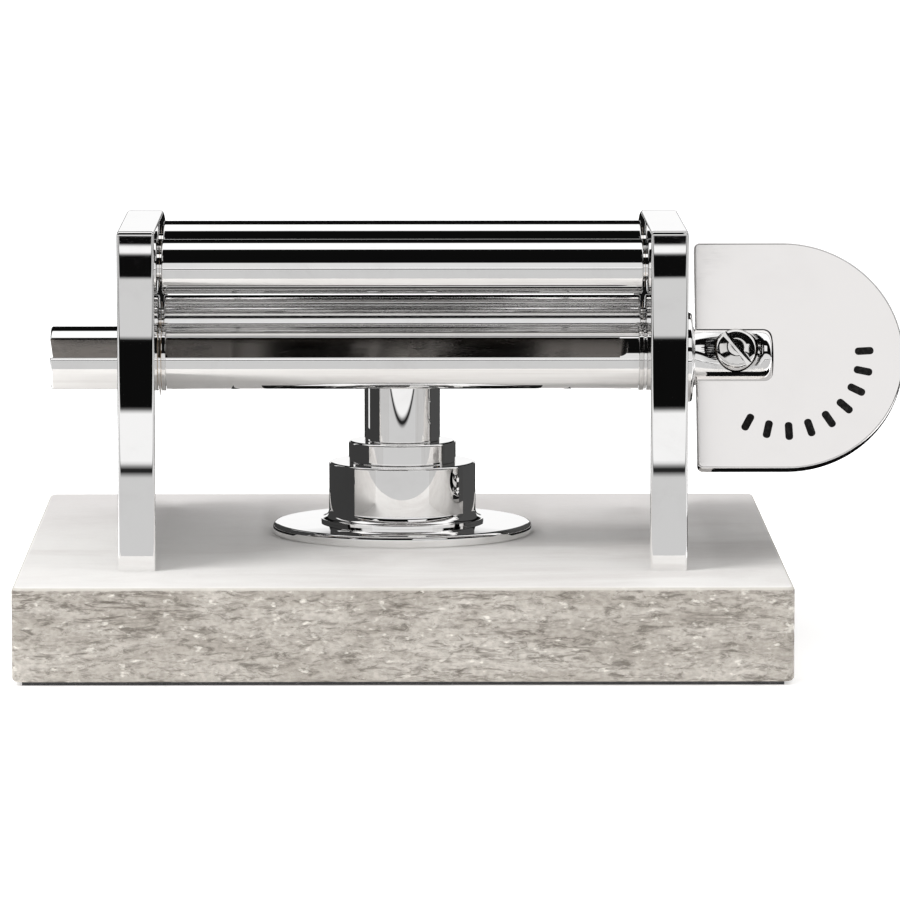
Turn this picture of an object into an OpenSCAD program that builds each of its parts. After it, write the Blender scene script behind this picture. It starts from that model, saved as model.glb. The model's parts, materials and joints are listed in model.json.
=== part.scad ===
// Tabletop roller machine: chromed side plates on a marble slab carry a pinch pair,
// a lower roller and a slotted winding shaft that a flat D-shaped key turns.
// Frame: millimetres, +Z up, +X towards the key, -Y towards the user.
// The origin is the middle of the underside.

/* [Slab] */
// Width of the slab, left to right
slab_w = 157; // [150:1:220]
// Depth of the slab, front to back
slab_d = 157; // [130:1:220]
// Thickness of the marble
slab_t = 19.2; // [14:0.2:30]
// Radius of the slab's upright corners
slab_corner_r = 2; // [0.5:0.5:6]
// Thickness of the felt sheet under the slab
felt_t = 0.8; // [0.5:0.1:2]

/* [Side plates] */
// Clear distance between the two side plates
plates_gap = 100.8; // [60:0.2:130]
// Thickness of each side plate
plate_t = 7.6; // [6.5:0.1:12]
// Depth of each side plate, front to back
plate_d = 107; // [96:1:125]
// Height of each side plate above the slab
plate_h = 69.4; // [57.8:0.2:110]
// Chamfer along the side plates' edges
plate_chamfer = 0.6; // [0.2:0.1:1]

/* [Rollers] */
// Diameter of the three plain rollers
roller_d = 11.4; // [9:0.1:13.7]
// Diameter of the rollers' journals
journal_d = 6; // [4:0.1:6.5]
// Slit between the two pinch rollers
nip = 0.95; // [0.4:0.05:3]
// Angle by which the rear roller stands above the front roller
nip_angle = 13.65; // [5:0.05:20]
// Depth of the front roller's axis below the side plates' top
top_drop = 10; // [9.5:0.1:20]
// Gap between the lower roller and the winding shaft
guide_gap = 1.3; // [1.1:0.1:3]
// Angle of the lower roller above the winding shaft's axis, towards the back
guide_angle = 27.7; // [20:0.1:32]
// Gap between the end of a roller and the side plate
roller_end_gap = 0.5; // [0.2:0.1:2]

/* [Winding shaft] */
// Diameter of the winding shaft
shaft_d = 13.1; // [10:0.1:15.8]
// Depth of the shaft's axis below the front roller's axis
shaft_drop = 19; // [18:0.1:24]
// Distance of the shaft's axis in front of the slab's middle
shaft_y = 20; // [10:0.5:28]
// Length of the shaft that stands out past the left side plate
stub_l = 15; // [8:0.5:19]
// Width of the slot along the shaft
slot_w = 3.9; // [2:0.1:3.9]
// Length of solid shaft between the slot's end and the right side plate
slot_end_gap = 3.4; // [2.5:0.1:10]
// Angle of the slot above the horizontal at rest
rest_tilt = 25; // [0:1:45]
// Wall of the two bushes that the shaft runs in
shaft_bush_wall = 1.4; // [1:0.1:2.5]
// Width of the rim by which the right bush's flange stands out
bush_flange_rim = 1.3; // [0.8:0.1:4]
// Thickness of the right bush's flange
bush_flange_t = 2.2; // [1:0.1:4]

/* [Key] */
// Depth by which the end that holds the key is turned down
boss_step = 0.7; // [0.3:0.1:1.5]
// Length of that end
boss_l = 16.5; // [14:0.5:20]
// Width of the key, along the shaft
key_w = 43.3; // [38:0.1:60]
// Height of the key, across the shaft
key_h = 49.8; // [36:0.2:60]
// Thickness of the key
key_t = 2.6; // [1.5:0.1:3.2]
// Diameter of the key screw's head
key_screw_head_d = 8.8; // [6:0.1:9.2]
// Depth of the key screw's seat below the surface of the end that holds the key
key_seat_depth = 2.25; // [1.5:0.05:2.5]

/* [Centre post] */
// Distance of the post behind the slab's middle
post_y = 10; // [6:0.5:20]
// Diameter of the post's foot flange
flange_d = 55; // [42:0.5:70]
// Thickness of the foot flange
flange_t = 2.7; // [2:0.1:6]
// Diameter of the post's hub
hub_d = 31.2; // [28:0.2:36]
// Height of the hub
hub_h = 12.6; // [9:0.1:14]
// Diameter of the post's collar
collar_d = 22.8; // [19:0.2:26]
// Height of the collar
collar_h = 4.5; // [2:0.1:6]
// Diameter of the post's stem
stem_d = 16.1; // [12:0.1:17]
// Height of the stem
stem_h = 13.5; // [8:0.1:15]

/* [Hidden] */

$fn = 96;
// Overshoot of a cut past the face it opens
cut = 1;
// Radial gap of a journal or shaft turning in its bush
running_gap = 0.05;
// Radial gap round a screw, a pressed bush's far end or a washer
assembly_gap = 0.2;
// Radial gap of a screw thread in its tapped hole
thread_gap = 0.05;
// Gap between the key and each face of the slot that holds it
key_gap = 0.05;

// Heights
slab_z0 = felt_t;
deck = felt_t + slab_t;
// Side plates
plate_x0 = plates_gap / 2;
plate_x1 = plate_x0 + plate_t;
plate_front = plate_d / 2;
plate_r = plate_d / 2;
// Axes as [y, z]
front_axis = [-shaft_y, deck + plate_h - top_drop];
shaft_axis = front_axis - [0, shaft_drop];
rear_axis = front_axis + (roller_d + nip) * [cos(nip_angle), sin(nip_angle)];
guide_pitch = (shaft_d + roller_d) / 2 + guide_gap;
lower_axis = shaft_axis + guide_pitch * [cos(guide_angle), sin(guide_angle)];
// Rollers and their bushes
roller_l = plates_gap - 2 * roller_end_gap;
roller_chamfer = 0.8;
bush_wall = 1.3;
bush_d = journal_d + 2 * (running_gap + bush_wall);
bush_l = plate_t - 2;
journal_l = roller_end_gap + bush_l - 0.4;
journal_chamfer = 0.4;
// Shaft
shaft_bush_id = shaft_d + 2 * running_gap;
shaft_bush_od = shaft_bush_id + 2 * shaft_bush_wall;
bush_flange_d = shaft_bush_od + 2 * bush_flange_rim;
boss_d = shaft_d - 2 * boss_step;
shaft_x0 = -(plate_x1 + stub_l);
shaft_shoulder = plate_x1 + bush_flange_t;
shaft_x1 = shaft_shoulder + 0.4 + boss_l;
slot_x1 = plate_x0 - slot_end_gap;
ring_t = 1;
ring_depth = 0.7;
ring_proud = 0.35;
ring_side_gap = 0.1;
ring_x = plate_x0 - 0.3 - ring_t;
boss_end_r = 2;
// Key
key_x0 = shaft_shoulder + 0.8;
key_corner_r = 1.2;
key_edge = 0.5;
key_screw_x = key_x0 + 8.2;
key_screw_d = 4;
key_head_t = 3;
key_seat = boss_d / 2 - key_seat_depth;
key_screw_slot_w = 1.2;
key_screw_slot_t = 1.3;
key_screw_turn = -52;
// Fasteners from below
screw_d = 4;
screw_head_d = 7;
screw_head_t = 4;
washer_d = 9;
washer_t = 0.8;
plate_screw_y = 0.33 * plate_d;
screw_grip = 11;
post_screw_d = 6;
post_screw_head_d = 10;
post_screw_head_t = 6;
post_washer_d = 13;
post_washer_t = 1.6;
counterbore_t = 7;
post_counterbore_t = 9;
// Centre post
post_x = 0;
post_cove_r = 1.8;
turned_chamfer = 0.5;
hub_z = deck + flange_t;
collar_z = hub_z + hub_h;
stem_z = collar_z + collar_h;
stem_tap = stem_h - 3;

// A cylinder along +X from x0 to x1 on the axis [y, z], with chamfered ends.
module bar_x(axis, x0, x1, d, chamfer = 0) {
    r = d / 2;
    l = x1 - x0;
    translate([x0, axis[0], axis[1]])
        rotate([0, 90, 0])
            rotate_extrude()
                polygon([
                    [0, 0], [r - chamfer, 0], [r, chamfer],
                    [r, l - chamfer], [r - chamfer, l], [0, l]
                ]);
}

// A plain cylinder along +X, used for bores and necks.
module rod_x(axis, x0, x1, d) {
    translate([x0, axis[0], axis[1]])
        rotate([0, 90, 0])
            cylinder(h = x1 - x0, d = d);
}

// A turned disc or drum standing on z, with chamfers at its top and its foot.
module turned(z, h, d, top, foot) {
    r = d / 2;
    translate([post_x, post_y, z])
        rotate_extrude()
            polygon([[0, 0], [r - foot, 0], [r, foot], [r, h - top], [r - top, h], [0, h]]);
}

// A vertical bore on the post's axis.
module post_bore(z0, z1, d) {
    translate([post_x, post_y, z0])
        cylinder(h = z1 - z0, d = d);
}

// The places of the screws that hold one side plate; side is -1 for left, 1 for right.
module at_plate_screws(side) {
    x = side * (plate_x0 + plate_t / 2);
    for (y = [-plate_screw_y, plate_screw_y])
        translate([x, y, 0])
            children();
}

// A cap screw from below: its head starts at z0 and its tip ends at z1.
module cap_screw(z0, z1, d, head_d, head_t) {
    hex = 0.5 * head_d;
    hex_t = 0.5 * head_t;
    difference() {
        union() {
            translate([0, 0, z0])
                cylinder(h = head_t, d = head_d);
            translate([0, 0, z0 + head_t])
                cylinder(h = z1 - z0 - head_t, d = d);
        }
        translate([0, 0, z0 - cut])
            cylinder(h = hex_t + cut, d = hex, $fn = 6);
    }
}

module ring_z(z, h, od, id) {
    translate([0, 0, z])
        difference() {
            cylinder(h = h, d = od);
            translate([0, 0, -cut])
                cylinder(h = h + 2 * cut, d = id);
        }
}

// Slab ------------------------------------------------------------------------------

module slab_outline(inset = 0) {
    w = slab_w / 2 - slab_corner_r;
    d = slab_d / 2 - slab_corner_r;
    r = slab_corner_r - inset;
    for (x = [-w, w])
        for (y = [-d, d])
            translate([x, y])
                circle(r = r);
    square([2 * (w + r), 2 * d], center = true);
    square([2 * w, 2 * (d + r)], center = true);
}

module base_slab() {
    color("gainsboro")
        difference() {
            translate([0, 0, slab_z0])
                linear_extrude(height = slab_t)
                    slab_outline();
            for (side = [-1, 1])
                at_plate_screws(side) {
                    translate([0, 0, slab_z0 - cut])
                        cylinder(h = counterbore_t + cut, d = washer_d + 2 * assembly_gap);
                    translate([0, 0, slab_z0])
                        cylinder(h = slab_t + cut, d = screw_d + 2 * assembly_gap);
                }
            post_bore(slab_z0 - cut, slab_z0 + post_counterbore_t, post_washer_d + 2 * assembly_gap);
            post_bore(slab_z0, deck + cut, post_screw_d + 2 * assembly_gap);
        }
}

module base_felt() {
    inset = 2;
    color("dimgray")
        translate([-slab_w / 2 + inset, -slab_d / 2 + inset, 0])
            cube([slab_w - 2 * inset, slab_d - 2 * inset, felt_t]);
}

// Side plates -----------------------------------------------------------------------

// One side plate standing at x = 0 to plate_t: a square front, and a back that rises in
// one large arc. Each of its three blocks has the same chamfers, so they join flush.
module plate_blank() {
    plate_front_block();
    plate_rear_block();
    plate_arc();
}

module plate_front_block() {
    t = plate_t;
    c = plate_chamfer;
    f = plate_front;
    h = plate_h;
    intersection() {
        linear_extrude(height = h)
            polygon([[c, -f], [t - c, -f], [t, c - f], [t, 0], [0, 0], [0, c - f]]);
        rotate([90, 0, 0])
            linear_extrude(height = f)
                polygon([[0, 0], [t, 0], [t, h - c], [t - c, h], [c, h], [0, h - c]]);
        rotate([90, 0, 90])
            linear_extrude(height = t)
                polygon([[-f, 0], [0, 0], [0, h], [c - f, h], [-f, h - c]]);
    }
}

module plate_rear_block() {
    t = plate_t;
    c = plate_chamfer;
    r = plate_r;
    linear_extrude(height = plate_h - r)
        polygon([[0, 0], [t, 0], [t, r - c], [t - c, r], [c, r], [0, r - c]]);
}

module plate_arc() {
    t = plate_t;
    c = plate_chamfer;
    r = plate_r;
    translate([0, 0, plate_h - r])
        intersection() {
            rotate([0, 90, 0])
                rotate_extrude($fn = 192)
                    polygon([[0, 0], [r - c, 0], [r, c], [r, t - c], [r - c, t], [0, t]]);
            cube([t, r, r]);
        }
}

module side_plate(side) {
    inner = side > 0 ? plate_x0 : -plate_x1;
    color("silver")
        difference() {
            translate([inner, 0, deck])
                plate_blank();
            for (axis = [front_axis, rear_axis, lower_axis])
                rod_x(
                    axis,
                    side > 0 ? plate_x0 - cut : -plate_x0 - bush_l,
                    side > 0 ? plate_x0 + bush_l : -plate_x0 + cut,
                    bush_d
                );
            rod_x(shaft_axis, inner - cut, inner + plate_t + cut, shaft_bush_od);
            at_plate_screws(side)
                translate([0, 0, deck - cut])
                    cylinder(h = screw_grip + cut + 1, d = screw_d + 2 * thread_gap);
        }
}

module left_side_plate() {
    side_plate(-1);
}

module right_side_plate() {
    side_plate(1);
}

module plate_screws(side) {
    z0 = slab_z0 + counterbore_t - washer_t - screw_head_t;
    color("lightgray")
        at_plate_screws(side)
            cap_screw(z0, deck + screw_grip, screw_d, screw_head_d, screw_head_t);
}

module left_plate_screws() {
    plate_screws(-1);
}

module right_plate_screws() {
    plate_screws(1);
}

module plate_screw_washers() {
    color("lightgray")
        for (side = [-1, 1])
            at_plate_screws(side)
                ring_z(slab_z0 + counterbore_t - washer_t, washer_t, washer_d, screw_d + 2 * assembly_gap);
}

// Rollers and their bushes ------------------------------------------------------------

module roller(axis) {
    x = roller_l / 2;
    color("silver") {
        bar_x(axis, -x, x, roller_d, roller_chamfer);
        bar_x(axis, -x - journal_l, x + journal_l, journal_d, journal_chamfer);
    }
}

module front_roller() {
    roller(front_axis);
}

module rear_roller() {
    roller(rear_axis);
}

module lower_roller() {
    roller(lower_axis);
}

module roller_bush(axis, side) {
    x0 = side > 0 ? plate_x0 : -plate_x0 - bush_l;
    color("goldenrod")
        difference() {
            rod_x(axis, x0, x0 + bush_l, bush_d);
            rod_x(axis, x0 - cut, x0 + bush_l + cut, journal_d + 2 * running_gap);
        }
}

module front_left_bush() {
    roller_bush(front_axis, -1);
}

module front_right_bush() {
    roller_bush(front_axis, 1);
}

module rear_left_bush() {
    roller_bush(rear_axis, -1);
}

module rear_right_bush() {
    roller_bush(rear_axis, 1);
}

module lower_left_bush() {
    roller_bush(lower_axis, -1);
}

module lower_right_bush() {
    roller_bush(lower_axis, 1);
}

// Winding shaft ------------------------------------------------------------------------

// Turns what belongs to the shaft to the angle at which it rests.
module on_shaft() {
    translate([0, shaft_axis[0], shaft_axis[1]])
        rotate([-rest_tilt, 0, 0])
            children();
}

// The bare shaft on the X axis, with its key end turned down and its right end rounded.
module shaft_blank() {
    r = shaft_d / 2;
    rb = boss_d / 2;
    l = shaft_x1 - shaft_x0;
    step = shaft_shoulder + 0.4 - shaft_x0;
    chamfer = 0.5;
    translate([shaft_x0, 0, 0])
        rotate([0, 90, 0])
            rotate_extrude() {
                polygon([
                    [0, 0], [r - chamfer, 0], [r, chamfer], [r, step - chamfer], [r - chamfer, step],
                    [rb, step], [rb, l - boss_end_r], [0, l - boss_end_r]
                ]);
                translate([0, l - boss_end_r - cut])
                    square([rb - boss_end_r, boss_end_r + cut]);
                intersection() {
                    translate([rb - boss_end_r, l - boss_end_r])
                        circle(r = boss_end_r, $fn = 48);
                    translate([0, l - boss_end_r - cut])
                        square([rb, boss_end_r + cut]);
                }
            }
}

module ring_groove(x) {
    translate([x - ring_side_gap, 0, 0])
        rotate([0, 90, 0])
            ring_z(0, ring_t + 2 * ring_side_gap, shaft_d + 2 * cut, shaft_d - 2 * ring_depth);
}

// Breaks the slot's lips on both sides of the shaft.
module slot_lips() {
    lip = 0.45;
    r = shaft_d / 2;
    translate([shaft_x0 - cut, 0, 0])
        rotate([90, 0, 90])
            linear_extrude(height = slot_x1 - slot_w / 2 - shaft_x0 + cut)
                for (side = [-1, 1])
                    polygon([
                        [side * (r - 2 * lip), -slot_w / 2], [side * (r + lip), -slot_w / 2 - 1.5 * lip],
                        [side * (r + lip), slot_w / 2 + 1.5 * lip], [side * (r - 2 * lip), slot_w / 2]
                    ]);
}

module winding_shaft() {
    slot_cut = shaft_d + 2 * cut;
    color("silver")
        on_shaft()
            difference() {
                shaft_blank();
                translate([shaft_x0 - cut, -slot_cut / 2, -slot_w / 2])
                    cube([slot_x1 - slot_w / 2 - shaft_x0 + cut, slot_cut, slot_w]);
                translate([slot_x1 - slot_w / 2, -slot_cut / 2, 0])
                    rotate([-90, 0, 0])
                        cylinder(h = slot_cut, d = slot_w);
                slot_lips();
                ring_groove(-ring_x - ring_t);
                ring_groove(ring_x);
                translate([key_x0 - key_gap, -key_t / 2 - key_gap, -shaft_d])
                    cube([boss_l + shaft_d, key_t + 2 * key_gap, 2 * shaft_d]);
                translate([key_screw_x, 0, 0])
                    rotate([90, 0, 0]) {
                        translate([0, 0, -boss_d / 2 + 1])
                            cylinder(h = boss_d, d = key_screw_d + 2 * thread_gap);
                        translate([0, 0, key_seat])
                            cylinder(h = boss_d, d = key_screw_head_d + 2 * assembly_gap);
                    }
            }
}

module left_shaft_bush() {
    color("goldenrod")
        difference() {
            rod_x(shaft_axis, -plate_x1, -plate_x0, shaft_bush_od);
            rod_x(shaft_axis, -plate_x1 - cut, -plate_x0 + cut, shaft_bush_id);
        }
}

module right_shaft_bush() {
    color("silver")
        difference() {
            union() {
                rod_x(shaft_axis, plate_x0, plate_x1, shaft_bush_od);
                bar_x(shaft_axis, plate_x1, shaft_shoulder, bush_flange_d, 0.3);
            }
            rod_x(shaft_axis, plate_x0 - cut, shaft_shoulder + cut, shaft_bush_id);
        }
}

// An open snap ring in its groove, with its gap turned to the back.
module snap_ring(x) {
    opening = 3;
    color("gray")
        on_shaft()
            difference() {
                translate([x, 0, 0])
                    rotate([0, 90, 0])
                        ring_z(0, ring_t, shaft_d + 2 * ring_proud, shaft_d - 2 * ring_depth);
                translate([x - cut, 0, -opening / 2])
                    cube([ring_t + 2 * cut, shaft_d, opening]);
            }
}

module left_snap_ring() {
    snap_ring(-ring_x - ring_t);
}

module right_snap_ring() {
    snap_ring(ring_x);
}

// Key ------------------------------------------------------------------------------------

// The key's outline in X and Z: small corners by the shaft and a round far end.
module key_outline() {
    r = key_h / 2;
    arc_x = key_x0 + key_w - r;
    c = key_corner_r;
    translate([key_x0 + c, -r])
        square([arc_x - key_x0 - c, key_h]);
    translate([key_x0, -r + c])
        square([arc_x - key_x0, key_h - 2 * c]);
    for (z = [-r + c, r - c])
        translate([key_x0 + c, z])
            circle(r = c, $fn = 32);
    translate([arc_x, 0])
        circle(r = r, $fn = 192);
}

module winding_key() {
    r = key_h / 2;
    arc_x = key_x0 + key_w - r;
    color("silver")
        on_shaft()
            difference() {
                translate([0, key_t / 2, 0])
                    rotate([90, 0, 0])
                        linear_extrude(height = key_t)
                            intersection() {
                                key_outline();
                                translate([key_x0, -r])
                                    square([key_w, key_h]);
                            }
                translate([key_screw_x, key_t, 0])
                    rotate([90, 0, 0])
                        cylinder(h = 2 * key_t, d = key_screw_d + 2 * assembly_gap);
                translate([arc_x, key_t / 2, 0])
                    rotate([90, 0, 0])
                        key_edge_cut(r);
            }
}

// Breaks the two edges round the key's far end.
module key_edge_cut(r) {
    intersection() {
        rotate_extrude($fn = 192) {
            polygon([[r - key_edge, 0], [r + cut, -cut], [r + cut, key_edge + cut]]);
            polygon([[r - key_edge, key_t], [r + cut, key_t - key_edge - cut], [r + cut, key_t + cut]]);
        }
        translate([0, -r - cut, -cut])
            cube([r + 2 * cut, 2 * (r + cut), key_t + 2 * cut]);
    }
}

// A round-headed slotted screw that clamps the key; its thread runs on behind the key.
module key_screw() {
    head_r = key_screw_head_d / 2;
    dome = 1.2;
    color("lightgray")
        on_shaft()
            translate([key_screw_x, 0, 0])
                rotate([90, 0, 0])
                    difference() {
                        union() {
                            translate([0, 0, -boss_d / 2 + 1.5])
                                cylinder(h = boss_d / 2 + key_seat - 1, d = key_screw_d);
                            translate([0, 0, key_seat])
                                rotate_extrude()
                                    polygon([
                                        [0, 0], [head_r, 0], [head_r, key_head_t - dome],
                                        for (a = [15 : 15 : 75])
                                            [head_r - dome * (1 - cos(a)),
                                             key_head_t - dome + dome * sin(a)],
                                        [head_r - dome, key_head_t], [0, key_head_t]
                                    ]);
                        }
                        rotate([0, 0, key_screw_turn])
                            translate([-head_r - cut, -key_screw_slot_w / 2, key_seat + key_head_t - key_screw_slot_t])
                                cube([2 * (head_r + cut), key_screw_slot_w, key_screw_slot_t + cut]);
                    }
}

// Centre post -------------------------------------------------------------------------------

module post_flange() {
    color("silver")
        difference() {
            turned(deck, flange_t, flange_d, turned_chamfer, 0.2);
            post_bore(deck - cut, hub_z + cut, post_screw_d + 2 * assembly_gap);
        }
}

// The hub's foot flares out in a small cove where it meets the flange.
module post_hub() {
    r = hub_d / 2;
    c = turned_chamfer;
    v = post_cove_r;
    color("silver")
        difference() {
            translate([post_x, post_y, hub_z])
                rotate_extrude()
                    polygon([
                        [0, 0], [r + v, 0],
                        for (a = [0 : 15 : 90])
                            [r + v - v * sin(a), v + 0.6 - v * cos(a)],
                        [r, hub_h - c], [r - c, hub_h], [0, hub_h]
                    ]);
            post_bore(hub_z - cut, collar_z + cut, post_screw_d + 2 * assembly_gap);
        }
}

module post_collar() {
    color("silver")
        difference() {
            turned(collar_z, collar_h, collar_d, turned_chamfer, 0.2);
            post_bore(collar_z - cut, stem_z + cut, post_screw_d + 2 * assembly_gap);
        }
}

module post_stem() {
    color("silver")
        difference() {
            turned(stem_z, stem_h, stem_d, turned_chamfer, 0.2);
            post_bore(stem_z - cut, stem_z + stem_tap, post_screw_d + 2 * thread_gap);
        }
}

module post_screw() {
    z0 = slab_z0 + post_counterbore_t - post_washer_t - post_screw_head_t;
    color("lightgray")
        translate([post_x, post_y, 0])
            cap_screw(z0, stem_z + stem_tap - 1, post_screw_d, post_screw_head_d, post_screw_head_t);
}

module post_screw_washer() {
    color("lightgray")
        translate([post_x, post_y, 0])
            ring_z(
                slab_z0 + post_counterbore_t - post_washer_t,
                post_washer_t, post_washer_d, post_screw_d + 2 * assembly_gap
            );
}

base_slab();
base_felt();
left_side_plate();
right_side_plate();
left_plate_screws();
right_plate_screws();
plate_screw_washers();
front_roller();
rear_roller();
lower_roller();
front_left_bush();
front_right_bush();
rear_left_bush();
rear_right_bush();
lower_left_bush();
lower_right_bush();
winding_shaft();
left_shaft_bush();
right_shaft_bush();
left_snap_ring();
right_snap_ring();
winding_key();
key_screw();
post_flange();
post_hub();
post_collar();
post_stem();
post_screw();
post_screw_washer();
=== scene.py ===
"""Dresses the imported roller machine: fine meshes, finishes, and a small studio round it."""

import json
import logging
import math
from collections.abc import Callable, Sequence
from dataclasses import dataclass, field
from enum import Enum

import bmesh
import bpy
from mathutils import Matrix, Vector, noise
from mathutils.geometry import tessellate_polygon


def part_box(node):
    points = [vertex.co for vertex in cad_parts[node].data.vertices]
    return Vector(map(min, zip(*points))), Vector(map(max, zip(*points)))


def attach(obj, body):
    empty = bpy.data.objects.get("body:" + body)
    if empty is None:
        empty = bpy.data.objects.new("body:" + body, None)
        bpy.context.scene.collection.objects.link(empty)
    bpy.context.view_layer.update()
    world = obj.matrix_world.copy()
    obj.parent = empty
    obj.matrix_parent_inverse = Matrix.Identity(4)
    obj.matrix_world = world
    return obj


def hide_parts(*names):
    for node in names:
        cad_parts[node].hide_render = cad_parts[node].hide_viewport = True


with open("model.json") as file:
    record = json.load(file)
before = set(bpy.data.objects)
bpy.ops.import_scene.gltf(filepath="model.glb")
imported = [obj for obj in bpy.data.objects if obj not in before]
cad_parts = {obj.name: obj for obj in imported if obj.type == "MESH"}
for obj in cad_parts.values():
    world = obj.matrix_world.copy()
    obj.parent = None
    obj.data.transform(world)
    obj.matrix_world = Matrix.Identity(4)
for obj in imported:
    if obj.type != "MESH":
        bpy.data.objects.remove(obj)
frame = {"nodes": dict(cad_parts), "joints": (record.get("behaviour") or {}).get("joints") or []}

log = logging.getLogger("roller_machine")

MM = 0.001
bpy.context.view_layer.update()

Point = tuple[float, float]
Corner = tuple[float, float, float]
Colour = tuple[float, float, float]
Inputs = dict[str | int, object]
Socket = bpy.types.NodeSocket
Finish = bpy.types.Material
Piece = bpy.types.Object


class Body(Enum):
    """The machine's moving bodies, and the one that stands still."""

    ROOT = "root"
    FRONT = "front_roller"
    REAR = "rear_roller"
    LOWER = "lower_roller"
    SHAFT = "shaft"


class Slot(Enum):
    """The record's material slots."""

    MARBLE = "marble"
    FELT = "felt"
    CHROME = "chrome"
    KEY = "key_chrome"
    STEEL = "steel"
    BRONZE = "bronze"


class Side(Enum):
    """The two ends of the machine, as the sign of X."""

    LEFT = -1
    RIGHT = 1


class Axis(Enum):
    """The direction that a turned piece is turned about."""

    X = "x"
    Z = "z"


# Shader nodes ------------------------------------------------------------------------


class Bench:
    """A material's node tree, with short ways to add and join its nodes."""

    def __init__(self, name: str) -> None:
        """Makes the material with one Principled shader.

        Args:
            name: the material's name.
        """
        self.material = bpy.data.materials.new(name)
        self.material.use_nodes = True
        self.tree = self.material.node_tree
        self.shader = self.tree.nodes["Principled BSDF"]
        self.place = self.add("ShaderNodeTexCoord").outputs["Object"]

    def add(self, kind: str, inputs: Inputs | None = None, **settings: object) -> bpy.types.Node:
        """Adds a node.

        Args:
            kind: the node's type.
            inputs: values for its sockets, or sockets to link to them, by socket name or number.
            **settings: values for its own properties.

        Returns:
            The new node.
        """
        node = self.tree.nodes.new(kind)
        for key, value in settings.items():
            setattr(node, key, value)
        for key, value in (inputs or {}).items():
            if isinstance(value, Socket):
                self.tree.links.new(value, node.inputs[key])
            else:
                node.inputs[key].default_value = value
        return node

    def mapped(self, scale: Colour, turn: Colour = (0.0, 0.0, 0.0)) -> Socket:
        """Object coordinates, turned and then stretched.

        Args:
            scale: the factor along each axis.
            turn: the angles in degrees.

        Returns:
            The vector socket.
        """
        turned_place = self.add(
            "ShaderNodeMapping",
            {"Vector": self.place, "Rotation": tuple(math.radians(a) for a in turn), "Scale": scale},
        )
        return turned_place.outputs["Vector"]

    def noise(
        self,
        vector: Socket,
        scale: float,
        detail: float = 4.0,
        roughness: float = 0.55,
        distortion: float = 0.0,
    ) -> Socket:
        """A noise value between 0 and 1.

        Args:
            vector: where the noise is read.
            scale: how many features there are in a metre.
            detail: how many octaves it has.
            roughness: how strong the fine octaves are.
            distortion: how far the pattern is swirled.

        Returns:
            The value socket.
        """
        node = self.add(
            "ShaderNodeTexNoise",
            {
                "Vector": vector,
                "Scale": scale,
                "Detail": detail,
                "Roughness": roughness,
                "Distortion": distortion,
            },
        )
        return node.outputs[0]

    def remap(self, value: Socket, low: float, high: float, out: Point = (0.0, 1.0)) -> Socket:
        """A value stretched from one range to another, smoothly and held at its ends.

        Args:
            value: the socket to stretch.
            low: where the new range starts.
            high: where it ends.
            out: the new range.

        Returns:
            The stretched value's socket.
        """
        node = self.add(
            "ShaderNodeMapRange",
            {"Value": value, "From Min": low, "From Max": high, "To Min": out[0], "To Max": out[1]},
            interpolation_type="SMOOTHSTEP",
        )
        return node.outputs["Result"]

    def maths(self, operation: str, first: object, second: object = 0.0) -> Socket:
        """The result of a Math node on two values or sockets."""
        return self.add("ShaderNodeMath", {0: first, 1: second}, operation=operation).outputs[0]

    def mix(self, share: object, first: object, second: object, blend: str = "MIX") -> Socket:
        """Mixes two colours.

        Args:
            share: how much of the second colour there is.
            first: a colour or a colour socket.
            second: a colour or a colour socket.
            blend: the way that they mix.

        Returns:
            The colour socket.
        """
        node = self.tree.nodes.new("ShaderNodeMix")
        node.data_type = "RGBA"
        node.blend_type = blend
        for place, value in ((0, share), (6, first), (7, second)):
            if isinstance(value, Socket):
                self.tree.links.new(value, node.inputs[place])
            elif place:
                node.inputs[place].default_value = (*value, 1.0)
            else:
                node.inputs[place].default_value = value
        return node.outputs[2]

    def bump(self, heights: Sequence[tuple[Socket, float]]) -> None:
        """Gives the surface relief.

        Args:
            heights: height sockets from 0 to 1, each with its full height in metres.
        """
        normal = None
        for height, distance in heights:
            node = self.add("ShaderNodeBump", {"Height": height, "Distance": distance, "Strength": 1.0})
            if normal is not None:
                self.tree.links.new(normal, node.inputs["Normal"])
            normal = node.outputs["Normal"]
        self.tree.links.new(normal, self.shader.inputs["Normal"])

    def set(self, **values: object) -> None:
        """Sets the shader's sockets, with _ for a space, to values or to sockets that feed them."""
        for key, value in values.items():
            socket = self.shader.inputs[key.replace("_", " ")]
            if isinstance(value, Socket):
                self.tree.links.new(value, socket)
            else:
                socket.default_value = (*value, 1.0) if isinstance(value, tuple) else value


# Finishes ----------------------------------------------------------------------------


@dataclass(frozen=True)
class Polish:
    """Bright metal: how it is tinted, how clear it is and how it was worked."""

    name: str
    tint: Colour
    stain: Colour
    clear: float
    hazy: float
    ripple: float
    lines: float = 0.0
    lines_across: Colour = (1.0, 1.0, 1.0)

    def material(self) -> Finish:
        """Makes the material.

        Returns:
            The new material.
        """
        bench = Bench(self.name)
        haze = bench.noise(bench.place, 70.0, 5.0, 0.62, 0.3)
        hairs = bench.noise(bench.mapped(self.lines_across), 900.0, 3.0, 0.6)
        swell = bench.noise(bench.place, 55.0, 2.0, 0.4)
        dull = bench.maths("MULTIPLY", bench.remap(haze, 0.42, 0.74), bench.remap(hairs, 0.25, 0.75))
        bench.set(
            Base_Color=bench.mix(bench.remap(haze, 0.45, 0.8), self.tint, self.stain),
            Metallic=1.0,
            Roughness=bench.remap(dull, 0.0, 1.0, (self.clear, self.hazy)),
        )
        bench.bump([(swell, self.ripple * MM), (hairs, self.lines * MM)])
        return bench.material


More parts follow.
